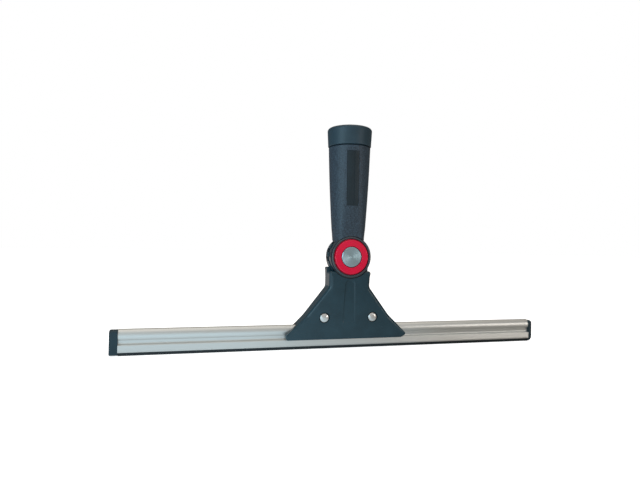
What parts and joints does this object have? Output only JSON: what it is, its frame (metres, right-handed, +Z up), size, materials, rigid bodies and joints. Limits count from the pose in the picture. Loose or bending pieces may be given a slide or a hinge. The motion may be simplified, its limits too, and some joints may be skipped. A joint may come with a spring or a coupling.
{
  "type": "window cleaning squeegee",
  "caption": "Window cleaning squeegee with a swivel head, push-ring release, metal channel with a rubber blade, and a soft-grip handle that takes a pole.",
  "frame": {"origin": "centre of the pole socket's mouth, on top of the handle", "axes": "+Z up the handle and out of the socket, +X along the blade, -Y the side with the red release ring"},
  "size_m": [0.3594, 0.0366, 0.1802],
  "materials": {
    "core_plastic": "satin moulded plastic, slate black",
    "grip_rubber": "finely grained soft rubber, slate black",
    "panel_plastic": "smooth matte inlay",
    "collar_plastic": "smooth satin plastic",
    "red_plastic": "glossy red",
    "turned_steel": "turned face with fine rings",
    "spring_steel": "plain spring steel",
    "plated_steel": "bright plated",
    "acetal": "natural acetal",
    "bush_brass": "machined",
    "bracket_plastic": "satin moulded plastic, dark teal black",
    "channel_steel": "bright drawn stainless, lengthwise grain",
    "blade_rubber": "smooth black rubber",
    "cap_plastic": "matte black plastic"
  },
  "bodies": {
    "handle": {"handle_core": "core_plastic", "grip_sleeve": "grip_rubber", "label_panel": "panel_plastic", "end_collar": "collar_plastic", "bezel_ring": "core_plastic", "release_spring": "spring_steel", "pivot_pin": "turned_steel", "thrust_washers": "acetal", "spring_washer": "spring_steel", "lock_nut": "plated_steel", "rear_cap": "core_plastic", "detent_spring": "spring_steel"},
    "release_button": {"release_ring": "red_plastic"},
    "head": {"index_plate": "bracket_plastic", "hub_bushing": "bush_brass", "bracket_front": "bracket_plastic", "bracket_rear": "bracket_plastic", "bracket_rivets": "plated_steel", "rivet_washers": "plated_steel", "channel_pad": "blade_rubber", "channel": "channel_steel", "blade_rubber": "blade_rubber", "end_cap_left": "cap_plastic", "end_cap_right": "cap_plastic"}
  },
  "joints": [
    {"name": "head_swivel", "type": "hinge", "parent": "handle", "child": "head", "pos_m": [0, 0, -0.105], "axis": [0, 1, 0], "range_deg": [-72, 72], "deforming": ["detent_spring"]},
    {"name": "release_press", "type": "slide", "parent": "handle", "child": "release_button", "axis": [0, 1, 0], "range_m": [0, 0.0018], "stiffness_N_per_m": 1500, "springref_m": -0.001, "deforming": ["release_spring"]}
  ]
}
